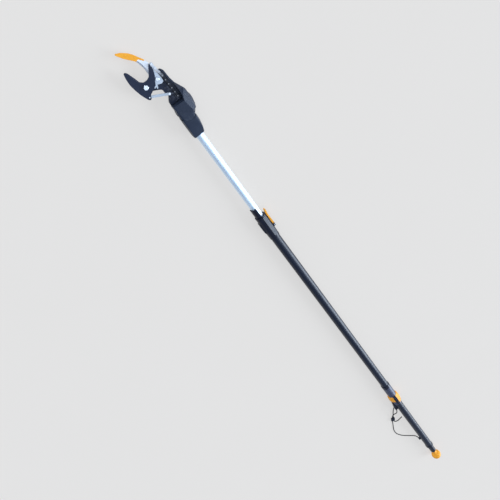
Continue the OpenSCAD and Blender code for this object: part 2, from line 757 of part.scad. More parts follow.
module brace() color(steel) difference() {
    dir = unit(tail - brace_foot);
    side = [-dir.y, dir.x] * brace_w / 2;
    ends = dir * brace_w * 0.5;
    translate([0, 0, chassis_z]) linear_extrude(brace_t) polygon(rounded([for (p = [tail + ends + side,
        brace_foot - ends + side, brace_foot - ends - side, tail + ends - side]) [p.x, p.y, 3]]));
    post(tail, brace_screw_d, 0, 50);
    post(brace_foot, brace_screw_d, 0, 50);
}

module hook_spacer() color(steel) difference() {
    post(tail, 9, chassis_z + brace_t, hook_z);
    post(tail, brace_screw_d, 0, 50);
}

module brace_screws() color(steel) {
    post(tail, brace_screw_d, chassis_z - 2, hook_top - 1);
    post(tail, brace_screw_d + 3, chassis_z - 2, chassis_z);
    post(brace_foot, brace_screw_d, floor_z, chassis_z + brace_t);
    post(brace_foot, brace_screw_d + 3, chassis_z + brace_t, chassis_z + brace_t + 1.5);
}

// Domed bolt head, turned
module bolt_cap(c, d, z) {
    translate([c.x, c.y, z]) rotate_extrude() polygon([[0, 0], [d / 2, 0], [d / 2, bolt_cap_t * 0.45],
        [d / 2 - 0.8, bolt_cap_t * 0.8], [d / 2 - 2.2, bolt_cap_t], [0, bolt_cap_t]]);
}

nut_z = floor_z - 6;

module blade_bolt() color(steel) {
    post(blade_c, blade_bolt_d, nut_z - 0.5, hook_top);
    bolt_cap(blade_c, blade_bolt_d + 7, hook_top);
}

module blade_nut() color(steel) difference() {
    translate([blade_c.x, blade_c.y, nut_z]) cylinder(d = 15, h = floor_z - nut_z, $fn = 6);
    post(blade_c, blade_bolt_d, 0, 50);
}

lever_nut_d = 13;

module lever_bolt() color(steel) {
    post(lever_c, lever_bolt_d, nut_z - 0.5, hub_top + gap);
    bolt_cap(lever_c, lever_bolt_d + 3.2, hub_top + gap);
}

module lever_nut() color(steel) difference() {
    translate([lever_c.x, lever_c.y, nut_z]) cylinder(d = lever_nut_d, h = floor_z - nut_z, $fn = 6);
    post(lever_c, lever_bolt_d, 0, 50);
}

module pivot_washers() color(charcoal) {
    washer(blade_c, blade_bolt_d);
    washer(lever_c, lever_bolt_d);
}

module washer(c, bore) difference() {
    post(c, bore + 9, chassis_z, chassis_z + washer_t);
    post(c, bore, 0, 50);
}

// Teeth on a pitch circle, at the given count of pitches from the mesh line
module teeth(c, r, line, counts) {
    step = gear_pitch / r * 180 / PI;
    for (k = counts) translate(c) rotate(line + k * step)
        polygon([[r - tooth_in - 1, -tooth_root_w / 2 - 0.4], [r - tooth_in, -tooth_root_w / 2],
            [r + tooth_out, -tooth_tip_w / 2], [r + tooth_out, tooth_tip_w / 2],
            [r - tooth_in, tooth_root_w / 2], [r - tooth_in - 1, tooth_root_w / 2 + 0.4]]);
}

function fan(c, r, a0, a1, steps = 18) = concat([c],
    [for (i = [0:steps]) c + r * [cos(a0 + (a1 - a0) * i / steps), sin(a0 + (a1 - a0) * i / steps)]]);

// Offsets from the blade bolt: tip, back, heel under the prong, and the cutting edge
blade_points = [[108, 8, 3], [93, -14.5, 40], [77, -27, 40], [66, -33.3, 30], [55.5, -39.6, 20],
    [46, -44.5, 3], [36, -42.5, 6], [14, -32, 6], [8, -24, 6], [9, -12, 3], [-2, -9.5, 2], [-8, 0, 3],
    [-2, 9, 3], [6, 9.5, 3], [11, -6, 6], [13, -19, 10], [19, -26.4, 12], [32.2, -26.9, 40],
    [42, -26.3, 40], [50.4, -24.8, 40], [65, -20.3, 20], [74, -13, 30], [90, 1, 40]];

module blade() color(steel) difference() {
    union() {
        plate(around(blade_c, blade_points), blade_z, blade_t);
        post(blade_c, 2 * (blade_gear_r - tooth_in), blade_z, blade_top);
        translate([0, 0, blade_z]) linear_extrude(blade_t)
            teeth(blade_c, blade_gear_r, mesh_angle - 180, [-3:0]);
    }
    post(blade_c, blade_bolt_d + 2 * slide_gap, 0, 50);
    for (c = guard_rivet_spots) post(c, guard_rivet_d, 0, 50);
}

// Offsets from the blade bolt: the guard's tip, back and inner end
guard_points = [[111.5, 11.5, 3], [105.6, -1.5, 30], [93.1, -17, 50], [83, -25.2, 40], [71.9, -31.6, 10],
    [56.5, -41, 1], [55, -38.2, 0.8], [67.5, -28, 4], [65.2, -20.8, 2.5], [75.4, -11.9, 30],
    [89.7, 1.2, 40], [108, 13.2, 3]];
guard_rivet_spots = [blade_c + [75, -22], blade_c + [92, -5]];
guard_rivet_d = 3;

module tip_guard() color(orange) difference() {
    plate(around(blade_c, guard_points), blade_z - guard_t, blade_t + 2 * guard_t);
    plate(around(blade_c, blade_points), blade_z, blade_t);
    for (c = guard_rivet_spots) post(c, guard_rivet_d, 0, 50);
}

module guard_rivets() color(orange) for (c = guard_rivet_spots)
    post(c, guard_rivet_d, blade_z - guard_t, blade_top + guard_t + 0.4);

lever_hub_r = 5.2;

// Offsets from the lever bolt: the arm to the chain pin and the corner beside the chain
lever_points = [[43.6, -14.8, 4.5], [42.8, -6, 4], [30, -4.4, 10], [16, 3, 12], [4, 14, 4], [-9, 14, 4],
    [-17, -3, 5], [-14, -11.4, 5], [3, -11.4, 10], [14, -9.6, 10], [27, -9.3, 6], [33, -14.8, 4]];

module drive_lever() color(steel) difference() {
    union() {
        translate([0, 0, blade_z]) linear_extrude(blade_t) union() {
            polygon(rounded(around(lever_c, lever_points)));
            polygon(fan(lever_c, lever_gear_r - tooth_in, mesh_angle - 16, mesh_angle + 60));
            teeth(lever_c, lever_gear_r, mesh_angle, [-0.5:1:3.5]);
        }
        post(lever_c, 2 * lever_hub_r, blade_top - 1, hub_top);
    }
    post(lever_c, lever_bolt_d + 2 * slide_gap, 0, 50);
    post(chain_start, chain_pin_d, 0, 50);
}

// Chain

function aim(i) = i < chain_bend ? chain_aim : channel_aim;
function chain_point(i) = chain_start + chain_pitch * (min(i, chain_bend) * [cos(chain_aim), sin(chain_aim)]
    + max(0, i - chain_bend) * [cos(channel_aim), sin(channel_aim)]);

module lever_pin() color(steel)
    post(chain_start, chain_pin_d, chain_low_z - 0.2, chain_high_z + plate_t + 0.5);

// One plate between pin i and the next, narrow in the middle, with a bore for each pin
module link_plate(i, z, t, first_bore = 0) {
    a = chain_point(i);
    b = chain_point(i + 1);
    n = [-sin(aim(i)), cos(aim(i))] * chain_plate_w * 0.34;
    difference() {
        translate([0, 0, z]) linear_extrude(t) union() {
            translate(a) circle(d = chain_plate_w);
            translate(b) circle(d = chain_plate_w);
            polygon([a + n, a - n, b - n, b + n]);
        }
        post(a, chain_pin_d + first_bore, 0, 50);
        post(b, chain_pin_d, 0, 50);
    }
}

module chain_inner_plates() color(steel) for (i = [0:2:chain_links - 1], z = [chain_low_z, chain_high_z])
    link_plate(i, z, plate_t, i == 0 ? 2 * slide_gap : 0);

module chain_outer_plates() color(charcoal)
    for (i = [1:2:chain_links - 1], z = [chain_low_z - plate_t, chain_high_z + plate_t])
        link_plate(i, z, plate_t);

module chain_pins() color(steel) for (i = [1:chain_links])
    post(chain_point(i), chain_pin_d, chain_low_z - plate_t, chain_high_z + 2 * plate_t + 0.4);

// Slide handle

module handle_sleeve() color(charcoal) difference() {
    rotate_about_pole() polygon([[outer_od / 2 + slide_gap, sleeve_end_x],
        [sleeve_od / 2 - 1.5, sleeve_end_x], [sleeve_od / 2, sleeve_end_x + 2],
        [sleeve_od / 2, sleeve_top_x - gap - 2], [sleeve_od / 2 - 1.2, sleeve_top_x - gap],
        [outer_od / 2 + slide_gap, sleeve_top_x - gap]]);
    translate([shuttle_x - shuttle_len / 2, -slot_w / 2 + 1, -5])
        cube([shuttle_len, slot_w - 2, axis_h - outer_od / 2 + 6]);
}

module wing_shape(len, back_x) {
    intersection() {
        hull() for (p = [[0, 0.5], [0.25, 0.92], [0.55, 1], [0.85, 0.86], [1, 0.62]])
            translate([back_x + p.x * len, 0, axis_h]) rotate([0, 90, 0]) scale_oval(p.y);
        translate([back_x - 1, -100, 0]) cube([len + 2, 200, 2 * axis_h]);
    }
}

// Thin oval slice of the wings at a share of their reach beyond the sleeve
module scale_oval(share) {
    half = sleeve_od / 2 + (wings_w - sleeve_od) / 2 * share;
    linear_extrude(eps) hull() {
        circle(d = sleeve_od + (wings_h - sleeve_od) * share, $fn = 32);
        for (s = [-1, 1]) translate([0, s * (half - wing_edge_r)]) circle(r = wing_edge_r, $fn = 24);
    }
}

module wing_cut() {
    rod(sleeve_od, sleeve_top_x + 10, sleeve_end_x - 10);
    translate([sleeve_end_x - 10, -saddle_w / 2 - wing_gap, -1])
        cube([sleeve_len + 20, saddle_w + 2 * wing_gap, 100]);
}

module right_wing() color(orange) difference() {
    wing_shape(right_wing_len, right_back_x);
    wing_cut();
    translate([sleeve_end_x - 10, 0, -1]) cube([sleeve_len + 20, 100, 100]);
    for (c = handle_screw_spots) handle_screw(c);
}

module left_wing() color(orange) difference() {
    wing_shape(left_wing_len, left_back_x);
    wing_cut();
    translate([sleeve_end_x - 10, -100, -1]) cube([sleeve_len + 20, 100, 100]);
    cord_lug_block();
    for (c = handle_screw_spots) handle_screw(c);
}

module saddle() color(black) for (s = [-1, 1]) difference() {
    intersection() {
        rod(wings_h - 2, right_back_x - 1 + saddle_len, right_back_x - 1);
        translate([sleeve_end_x - 10, -saddle_w / 2, s > 0 ? axis_h : axis_h - 50])
            cube([sleeve_len, saddle_w, 50]);
    }
    rod(sleeve_od, sleeve_top_x, sleeve_end_x - 20);
}

handle_screw_spots = [wings_front_x - 14, wings_front_x - 30];
handle_screw_d = 3;

// Screw along Y through a wing into the sleeve's wall
module handle_screw(x) {
    for (s = [-1, 1]) translate([x, s * (sleeve_od / 2), axis_h]) rotate([-90 * s, 0, 0]) {
        cylinder(d = handle_screw_d, h = 5);
        translate([0, 0, 3]) cylinder(d = handle_screw_d + 2.5, h = 20);
    }
}

module handle_screws() color(steel) for (x = handle_screw_spots, s = [-1, 1])
    translate([x, s * (sleeve_od / 2), axis_h]) rotate([-90 * s, 0, 0]) {
        cylinder(d = handle_screw_d, h = 3);
        translate([0, 0, 3]) cylinder(d = handle_screw_d + 2.5, h = 1.5);
    }

lug_h = 9;

module cord_lug_block() {
    plate([[lug_front_x, 0, 0], [lug_front_x - 4, lug_eye.y - 3, 3], [lug_eye.x + 7, lug_eye.y + 4, 4],
        [lug_eye.x - 7, lug_eye.y + 4, 4], [lug_eye.x - 9, 0, 0]], axis_h - lug_h / 2, lug_h);
}

module cord_lug() color(black) difference() {
    cord_lug_block();
    rod(sleeve_od, sleeve_top_x, sleeve_end_x);
    rod(outer_od + 1, sleeve_end_x + 1, sleeve_end_x - 60);
    post(lug_eye, cord_d + 3, 0, 50);
}

module shuttle() color(steel) {
    translate([shuttle_x - shuttle_len / 2, -slot_w / 2 + 1, axis_h - sleeve_od / 2 + 0.5])
        cube([shuttle_len, slot_w - 2, sleeve_od / 2 - 0.5 - shuttle_drop]);
}

// Distance of the shuttle's top below the pole axis
shuttle_drop = 7;
strap_top_x = base_end_x - 40;

module drive_strap() color(black)
    translate([shuttle_x - shuttle_len / 2, -strap_w / 2, axis_h - shuttle_drop])
        cube([strap_top_x - shuttle_x + shuttle_len / 2, strap_w, strap_t]);

// Cord

function at(i) = cord_route[max(0, min(len(cord_route) - 1, i))];
function smooth(p0, p1, p2, p3, t) = 0.5 * ((2 * p1) + (p2 - p0) * t
    + (2 * p0 - 5 * p1 + 4 * p2 - p3) * t * t
    + (3 * p1 - p0 - 3 * p2 + p3) * t * t * t);
cord_steps = 2;
cord_line = [for (i = [0:len(cord_route) - 2], k = [0:cord_steps - 1])
    smooth(at(i - 1), at(i), at(i + 1), at(i + 2),
    k / cord_steps), cord_route[len(cord_route) - 1]];

// Tube of the given radius along a line of points
module tube_along(line, r, sides) {
    n = len(line);
    function heading(i) = unit(line[min(n - 1, i + 1)] - line[max(0, i - 1)]);
    function side_of(h) = unit(cross(h, abs(h.z) > 0.9 ? [1, 0, 0] : [0, 0, 1]));
    pts = [for (i = [0:n - 1]) let (h = heading(i), u = side_of(h), v = cross(u, h)) for (k = [0:sides - 1])
        line[i] + r * (u * cos(360 * k / sides) + v * sin(360 * k / sides))];
    walls = [for (i = [0:n - 2], k = [0:sides - 1]) let (a = i * sides + k, b = i * sides + (k + 1) % sides)
        each [[a, b, b + sides], [a, b + sides, a + sides]]];
    start = [for (k = [1:sides - 2]) [0, k + 1, k]];
    last = (n - 1) * sides;
    finish = [for (k = [1:sides - 2]) [last, last + k, last + k + 1]];
    polyhedron(pts, concat(walls, start, finish));
}

module cord() color(black) tube_along(cord_line, cord_d / 2, cord_sides);

module toggle() color(black) translate([toggle_c.x, toggle_c.y, 5.5]) rotate([0, 0, -25])
    hull() for (s = [-1, 1])
    translate([s * 5, 0, 0]) rotate([90, 0, 0]) cylinder(r = 5, h = 16, center = true, $fn = 24);

outer_tube();
clamp_collar();
guide_bush();
clamp_pin();
clamp_lever();
stop_ring();
cord_eyelet();
end_cap();
end_ball();
ball_strap();
inner_tube();
foot_bush();
base_upper();
base_lower();
base_screws();
tube_pin();
tilt_bolt();
tilt_nut();
housing_upper();
housing_lower();
chassis();
chassis_screws();
hook();
hook_spacer();
brace();
brace_screws();
blade_bolt();
blade_nut();
lever_bolt();
lever_nut();
pivot_washers();
blade();
tip_guard();
guard_rivets();
drive_lever();
lever_pin();
chain_outer_plates();
chain_inner_plates();
chain_pins();
handle_sleeve();
right_wing();
left_wing();
saddle();
cord_lug();
shuttle();
drive_strap();
handle_screws();
cord();
toggle();
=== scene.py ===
"""Looks of a tree pruner pole: finishes, rounded parts, grips, ball, wrist cord, light and camera.

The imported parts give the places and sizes, and the cord's route is given here. Most rigid parts are
shown as copies with rounded edges. The two tubes and the parts hidden inside stay as packed, and the
pivot bolts, the grips, the ball and the cord are modelled here. Lengths are metres, and MM turns a
length in millimetres into metres.
"""

import json
from math import cos, pi, radians, sin

import bmesh
import bpy
from mathutils import Matrix, Vector


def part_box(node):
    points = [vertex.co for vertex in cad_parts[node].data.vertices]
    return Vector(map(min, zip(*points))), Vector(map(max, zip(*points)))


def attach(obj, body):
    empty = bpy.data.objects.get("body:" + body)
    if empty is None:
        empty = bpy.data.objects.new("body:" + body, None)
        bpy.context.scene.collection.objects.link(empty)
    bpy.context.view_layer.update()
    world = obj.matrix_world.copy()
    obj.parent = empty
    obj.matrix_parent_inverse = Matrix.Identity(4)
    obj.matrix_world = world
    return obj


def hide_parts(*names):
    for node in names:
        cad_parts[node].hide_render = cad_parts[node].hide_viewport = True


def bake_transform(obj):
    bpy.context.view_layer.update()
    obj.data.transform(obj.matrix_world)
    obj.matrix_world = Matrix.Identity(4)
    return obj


MM = 0.001

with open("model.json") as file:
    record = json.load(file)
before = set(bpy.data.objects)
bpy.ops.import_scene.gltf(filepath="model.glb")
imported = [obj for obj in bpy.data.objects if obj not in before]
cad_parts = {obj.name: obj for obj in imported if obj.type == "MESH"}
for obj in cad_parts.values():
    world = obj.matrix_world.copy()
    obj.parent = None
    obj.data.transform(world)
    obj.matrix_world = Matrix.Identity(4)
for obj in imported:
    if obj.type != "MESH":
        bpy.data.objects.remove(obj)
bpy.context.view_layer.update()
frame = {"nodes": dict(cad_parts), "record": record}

# Places that several pieces share
tube_low, tube_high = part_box("outer_tube")
sleeve_low, sleeve_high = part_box("handle_sleeve")
AXIS_Z = (tube_low.z + tube_high.z) / 2
SLEEVE_END_X = sleeve_low.x
SLEEVE_R = (sleeve_high.y - sleeve_low.y) / 2
PIVOT = {j["name"]: Vector(j["pos_m"]) for j in frame["record"]["behaviour"]["joints"] if "pos_m" in j}

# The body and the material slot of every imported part
body_of = {n: b for b, nodes in frame["record"]["behaviour"]["bodies"].items() for n in nodes}
slot_of = {p["node"]: p["material_slot"] for p in frame["record"]["subparts"]}


# Meshes


def add_piece(name, mesh, material, body):
    """Links a bmesh as a smooth piece that rides on a body."""
    data = bpy.data.meshes.new(name)
    mesh.to_mesh(data)
    mesh.free()
    data.materials.append(material)
    piece = bpy.data.objects.new(name, data)
    bpy.context.scene.collection.objects.link(piece)
    if body:
        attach(piece, body)
    return piece


def shade(mesh, sharp_degrees=38):
    """Smooth shading, with the steep edges kept sharp."""
    for face in mesh.faces:
        face.smooth = True
    for edge in mesh.edges:
        steep = len(edge.link_faces) == 2 and edge.calc_face_angle() > radians(sharp_degrees)
        edge.smooth = not steep


def even_normals(piece):
    """Lets large faces decide the normals, so flat faces stay flat beside rounded edges."""
    weighted = piece.modifiers.new("Even normals", "WEIGHTED_NORMAL")
    weighted.keep_sharp = True
    weighted.weight = 80


def welded_copy(node):
    """The node's mesh as a bmesh, with its split corners joined and its flat areas as single faces."""
    same_place, same_plane = 0.002 * MM, radians(0.6)
    mesh = bmesh.new()
    mesh.from_mesh(frame["nodes"][node].data)
    bmesh.ops.remove_doubles(mesh, verts=mesh.verts, dist=same_place)
    bmesh.ops.dissolve_limit(mesh, angle_limit=same_plane, verts=mesh.verts, edges=mesh.edges)
    return mesh


def steep_edges(mesh, degrees):
    """The edges whose two faces meet at more than the given angle."""
    return [e for e in mesh.edges if len(e.link_faces) == 2 and e.calc_face_angle() > radians(degrees)]


def rounded_part(node, material, width, segments=2, steep=32, reshape=None, keep_sharp=None):
    """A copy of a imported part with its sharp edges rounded, shown instead of it."""
    mesh = welded_copy(node)
    if reshape:
        reshape(mesh)
    edges = [e for e in steep_edges(mesh, steep) if not (keep_sharp and keep_sharp(e))]
    bmesh.ops.bevel(mesh, geom=edges, offset=width * MM, segments=segments, profile=0.5, affect="EDGES",
                    clamp_overlap=True)
    shade(mesh)
    piece = add_piece(node + "_rounded", mesh, material, body_of[node])
    even_normals(piece)
    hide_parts(node)
    return piece


def grind(mesh, pivot, along, across, reach):
    """Slopes a plate's edge: moves its upper corners in a patch beside the pivot sideways by up to reach.

    The patch, along X and across it, and the reach are in millimetres.
    """
    run_out, skin = 5, 0.1 * MM
    top = max(v.co.z for v in mesh.verts)
    for v in mesh.verts:
        x, y = (v.co.x - pivot.x) / MM, (v.co.y - pivot.y) / MM
        if v.co.z < top - skin or not (along[0] < x < along[1] and across[0] < y < across[1]):
            continue
        from_end = min(x - along[0], along[1] - x)
        v.co.y += reach * MM * min(1.0, from_end / run_out)


def ground_blade(mesh):
    """The blade's cutting edge."""
    grind(mesh, PIVOT["blade_close"], along=(18, 71), across=(-28, -10), reach=-4.5)


def ground_beak(mesh):
    """The hook's edge that faces the blade."""
    grind(mesh, PIVOT["blade_close"], along=(20, 62), across=(3, 20), reach=4.0)


def on_tilt_seam(edge):
    """Whether an edge lies on the round seam between the head and its base."""
    seam_r, slack = 27.2 * MM, 0.6 * MM
    middle = PIVOT["head_tilt"]
    return all(abs((v.co.xy - middle.xy).length - seam_r) < slack for v in edge.verts)


def loft(rings):
    """A closed skin over rings of equally many points."""
    mesh = bmesh.new()
    loops = [[mesh.verts.new(p) for p in ring] for ring in rings]
    count = len(loops[0])
    for one, two in zip(loops, loops[1:]):
        for i in range(count):
            mesh.faces.new((one[i], one[(i + 1) % count], two[(i + 1) % count], two[i]))
    mesh.faces.new(loops[0][::-1])
    mesh.faces.new(loops[-1])
    bmesh.ops.recalc_face_normals(mesh, faces=mesh.faces)
    return mesh


def hexagon_reach(turn):
    """Distance to the edge of a hexagon of inner radius 1, in the direction turn."""
    return 1 / cos((turn % (pi / 3)) - pi / 6)


def stacked(middle, levels, steps=48):
    """A skin about an upright axis from levels of (height, radius, whether it is six-sided)."""
    rings = []
    turns = [2 * pi * i / steps for i in range(steps)]
    for z, r, six_sided in levels:
        reach = [r * (hexagon_reach(t) if six_sided else 1) for t in turns]
        rings.append([Vector((middle.x + d * cos(t), middle.y + d * sin(t), z))
                      for d, t in zip(reach, turns)])
    return loft(rings)


def turned(profile, steps):
    """A skin turned about the pole axis from points of (x, radius)."""
    turns = [2 * pi * i / steps for i in range(steps)]
    return loft([[Vector((x, r * cos(t), AXIS_Z + r * sin(t))) for t in turns] for x, r in profile])


def smooth_line(points, steps):
    """Points on a smooth curve through the given points."""
    line = []
    for i in range(len(points) - 1):
        p0, p1 = points[max(0, i - 1)], points[i]
        p2, p3 = points[i + 1], points[min(len(points) - 1, i + 2)]
        for k in range(steps):
            t = k / steps
            line.append(0.5 * (2 * p1 + (p2 - p0) * t + (2 * p0 - 5 * p1 + 4 * p2 - p3) * t * t
                               + (3 * p1 - p0 - 3 * p2 + p3) * t * t * t))
    line.append(points[-1])
    return line


def tube_along(line, radius, sides):
    """A round tube along a line, with UVs: once around, and metres along."""
    rings, along = [], [0.0]
    side = Vector((0, 0, 1))
    for i, p in enumerate(line):
        heading = (line[min(i + 1, len(line) - 1)] - line[max(i - 1, 0)]).normalized()
        side = (side - heading * side.dot(heading)).normalized()
        other = heading.cross(side)
        rings.append([p + radius * (side * cos(2 * pi * k / sides) + other * sin(2 * pi * k / sides))
                      for k in range(sides)])
        if i:
            along.append(along[-1] + (p - line[i - 1]).length)
    mesh = bmesh.new()
    uv = mesh.loops.layers.uv.new("Along")
    loops = [[mesh.verts.new(p) for p in ring] for ring in rings]
    for i in range(len(loops) - 1):
        for k in range(sides):
            n = (k + 1) % sides
            face = mesh.faces.new((loops[i][k], loops[i][n], loops[i + 1][n], loops[i + 1][k]))
            corners = ((k, i), (k + 1, i), (k + 1, i + 1), (k, i + 1))
            for corner, (around, step) in zip(face.loops, corners):
                corner[uv].uv = (around / sides, along[step])
    for ring, turn in ((loops[0], -1), (loops[-1], 1)):
        mesh.faces.new(ring[::turn])
    bmesh.ops.recalc_face_normals(mesh, faces=mesh.faces)
    shade(mesh, sharp_degrees=60)
    return mesh


# Shared surface effects


def place(tree, kind, **settings):
    """A new shader node in a tree, with its settings."""
    node = tree.nodes.new(kind)
    for name, value in settings.items():
        setattr(node, name, value)
    return node


def effect(name, inputs, outputs):
    """A new shader node group with float or vector inputs and float outputs."""
    tree = bpy.data.node_groups.new(name, "ShaderNodeTree")
    for label, value in inputs.items():
        kind = "NodeSocketVector" if isinstance(value, tuple) else "NodeSocketFloat"
        socket = tree.interface.new_socket(label, in_out="INPUT", socket_type=kind)
        socket.default_value = value
    for label in outputs:
        tree.interface.new_socket(label, in_out="OUTPUT", socket_type="NodeSocketFloat")
    return tree, place(tree, "NodeGroupInput"), place(tree, "NodeGroupOutput")


def moulded_skin():
    """Fine grain of moulded plastic and the slow drift of its gloss."""
    tree, given, out = effect("Moulded skin", {"Grain": 1800.0, "Drift": 35.0}, ["Height", "Gloss drift"])
    where = place(tree, "ShaderNodeTexCoord")
    grain = place(tree, "ShaderNodeTexNoise")
    drift = place(tree, "ShaderNodeTexNoise")
    grain.inputs["Detail"].default_value = 3
    drift.inputs["Detail"].default_value = 4
    for noise, size in ((grain, "Grain"), (drift, "Drift")):
        tree.links.new(where.outputs["Object"], noise.inputs["Vector"])
        tree.links.new(given.outputs[size], noise.inputs["Scale"])
    tree.links.new(grain.outputs["Fac"], out.inputs["Height"])
    tree.links.new(drift.outputs["Fac"], out.inputs["Gloss drift"])
    return tree


def rubbed_edges():
    """Mask of corners that hands and branches rub, broken up by noise."""
    tree, given, out = effect("Rubbed edges", {"From": 0.52, "To": 0.6, "Break up": 160.0}, ["Mask"])
    shape = place(tree, "ShaderNodeNewGeometry")
    ramp = place(tree, "ShaderNodeMapRange")
    where = place(tree, "ShaderNodeTexCoord")
    noise = place(tree, "ShaderNodeTexNoise")
    keep = place(tree, "ShaderNodeMapRange")
    both = place(tree, "ShaderNodeMath", operation="MULTIPLY")
    noise.inputs["Detail"].default_value = 5
    keep.inputs["From Min"].default_value = 0.42
    keep.inputs["From Max"].default_value = 0.6
    tree.links.new(shape.outputs["Pointiness"], ramp.inputs["Value"])
    tree.links.new(given.outputs["From"], ramp.inputs["From Min"])
    tree.links.new(given.outputs["To"], ramp.inputs["From Max"])
    tree.links.new(where.outputs["Object"], noise.inputs["Vector"])
    tree.links.new(given.outputs["Break up"], noise.inputs["Scale"])
    tree.links.new(noise.outputs["Fac"], keep.inputs["Value"])
    tree.links.new(ramp.outputs["Result"], both.inputs[0])
    tree.links.new(keep.outputs["Result"], both.inputs[1])
    tree.links.new(both.outputs["Value"], out.inputs["Mask"])
    return tree


def drawn_lines():
    """Lines left by drawing, brushing or grinding, stretched along one direction."""
    tree, given, out = effect("Drawn lines", {"Stretch": (4.0, 900.0, 900.0)}, ["Height", "Streaks"])
    where = place(tree, "ShaderNodeTexCoord")
    stretch = place(tree, "ShaderNodeMapping")
    lines = place(tree, "ShaderNodeTexNoise")
    lines.inputs["Scale"].default_value = 1
    lines.inputs["Detail"].default_value = 3
    spread = place(tree, "ShaderNodeMapRange")
    spread.inputs["From Min"].default_value = 0.35
    spread.inputs["From Max"].default_value = 0.65
    tree.links.new(where.outputs["Object"], stretch.inputs["Vector"])
    tree.links.new(given.outputs["Stretch"], stretch.inputs["Scale"])
    tree.links.new(stretch.outputs["Vector"], lines.inputs["Vector"])
    tree.links.new(lines.outputs["Fac"], out.inputs["Height"])
    tree.links.new(lines.outputs["Fac"], spread.inputs["Value"])
    tree.links.new(spread.outputs["Result"], out.inputs["Streaks"])
    return tree


def braided_cover():
    """Crossing strands of a braided cord, from its UVs."""
    tree, given, out = effect("Braided cover", {"Strands": 4.0, "Lay": 420.0}, ["Height"])
    where = place(tree, "ShaderNodeTexCoord")
    parts = place(tree, "ShaderNodeSeparateXYZ")
    tree.links.new(where.outputs["UV"], parts.inputs["Vector"])
    around = place(tree, "ShaderNodeMath", operation="MULTIPLY")
    along = place(tree, "ShaderNodeMath", operation="MULTIPLY")
    tree.links.new(parts.outputs["X"], around.inputs[0])
    tree.links.new(given.outputs["Strands"], around.inputs[1])
    tree.links.new(parts.outputs["Y"], along.inputs[0])
    tree.links.new(given.outputs["Lay"], along.inputs[1])
    higher = place(tree, "ShaderNodeMath", operation="MAXIMUM")
    for slot, lean in enumerate(("ADD", "SUBTRACT")):
        crossed = place(tree, "ShaderNodeMath", operation=lean)
        tree.links.new(around.outputs["Value"], crossed.inputs[0])
        tree.links.new(along.outputs["Value"], crossed.inputs[1])
        wave = place(tree, "ShaderNodeMath", operation="PINGPONG")
        wave.inputs[1].default_value = 0.5
        tree.links.new(crossed.outputs["Value"], wave.inputs[0])
        tree.links.new(wave.outputs["Value"], higher.inputs[slot])
    tree.links.new(higher.outputs["Value"], out.inputs["Height"])
    return tree


SKIN, RUBBED, LINES, BRAID = moulded_skin(), rubbed_edges(), drawn_lines(), braided_cover()


# Finishes


def plain_finish(name, colour, roughness, metallic=0.0, mirror=0.5):
    """A material with its shader's own values set; the finishes below vary them over the surface."""
    material = bpy.data.materials.new(name)
    material.use_nodes = True
    shader = material.node_tree.nodes["Principled BSDF"]
    shader.inputs["Base Color"].default_value = (*colour, 1)
    shader.inputs["Roughness"].default_value = roughness
    shader.inputs["Metallic"].default_value = metallic
    shader.inputs["Specular IOR Level"].default_value = mirror
    return material, material.node_tree, shader


def use(tree, group, **values):
    """Places a shared effect in a material, with its own values."""
    node = place(tree, "ShaderNodeGroup", node_tree=group)
    for label, value in values.items():
        node.inputs[label].default_value = value
    return node


def vary_colour(tree, shader, factor, low, high):
    """Base colour between two colours, by a value that changes over the surface."""
    mix = place(tree, "ShaderNodeMix", data_type="RGBA")
    mix.inputs["A"].default_value = (*low, 1)
    mix.inputs["B"].default_value = (*high, 1)
    tree.links.new(factor, mix.inputs["Factor"])
    tree.links.new(mix.outputs["Result"], shader.inputs["Base Color"])
    return mix


def vary(tree, factor, socket, low, high):
    """A shader value between two limits, by a value that changes over the surface."""
    ramp = place(tree, "ShaderNodeMapRange")
    ramp.inputs["To Min"].default_value = low
    ramp.inputs["To Max"].default_value = high
    tree.links.new(factor, ramp.inputs["Value"])
    tree.links.new(ramp.outputs["Result"], socket)


def raise_surface(tree, shader, height, depth):
    """Bump from a height, with its depth in millimetres."""
    bump = place(tree, "ShaderNodeBump")
    bump.inputs["Distance"].default_value = depth * MM
    tree.links.new(height, bump.inputs["Height"])
    tree.links.new(bump.outputs["Normal"], shader.inputs["Normal"])


def plastic(name, dark, light, gloss, grain=1800.0, depth=0.05, worn=None, mirror=0.5):
    """Moulded plastic: drifting gloss and shade, fine grain and, if worn is given, rubbed edges."""
    material, tree, shader = plain_finish(name, dark, gloss[0], mirror=mirror)
    skin = use(tree, SKIN, Grain=grain)
    shades = vary_colour(tree, shader, skin.outputs["Gloss drift"], dark, light)
    if worn:
        rubbed = use(tree, RUBBED)
        edge = place(tree, "ShaderNodeMix", data_type="RGBA")
        edge.inputs["B"].default_value = (*worn, 1)
        tree.links.new(rubbed.outputs["Mask"], edge.inputs["Factor"])
        tree.links.new(shades.outputs["Result"], edge.inputs["A"])
        tree.links.new(edge.outputs["Result"], shader.inputs["Base Color"])
    vary(tree, skin.outputs["Gloss drift"], shader.inputs["Roughness"], *gloss)
    raise_surface(tree, shader, skin.outputs["Height"], depth)
    return material


def lined_metal(name, dark, light, gloss, stretch, depth=0.01):
    """Bare or anodised metal with the lines of its making."""
    material, tree, shader = plain_finish(name, light, gloss[0], metallic=1.0)
    lines = use(tree, LINES, Stretch=stretch)
    vary_colour(tree, shader, lines.outputs["Streaks"], dark, light)
    vary(tree, lines.outputs["Streaks"], shader.inputs["Roughness"], *gloss)
    raise_surface(tree, shader, lines.outputs["Height"], depth)
    return material


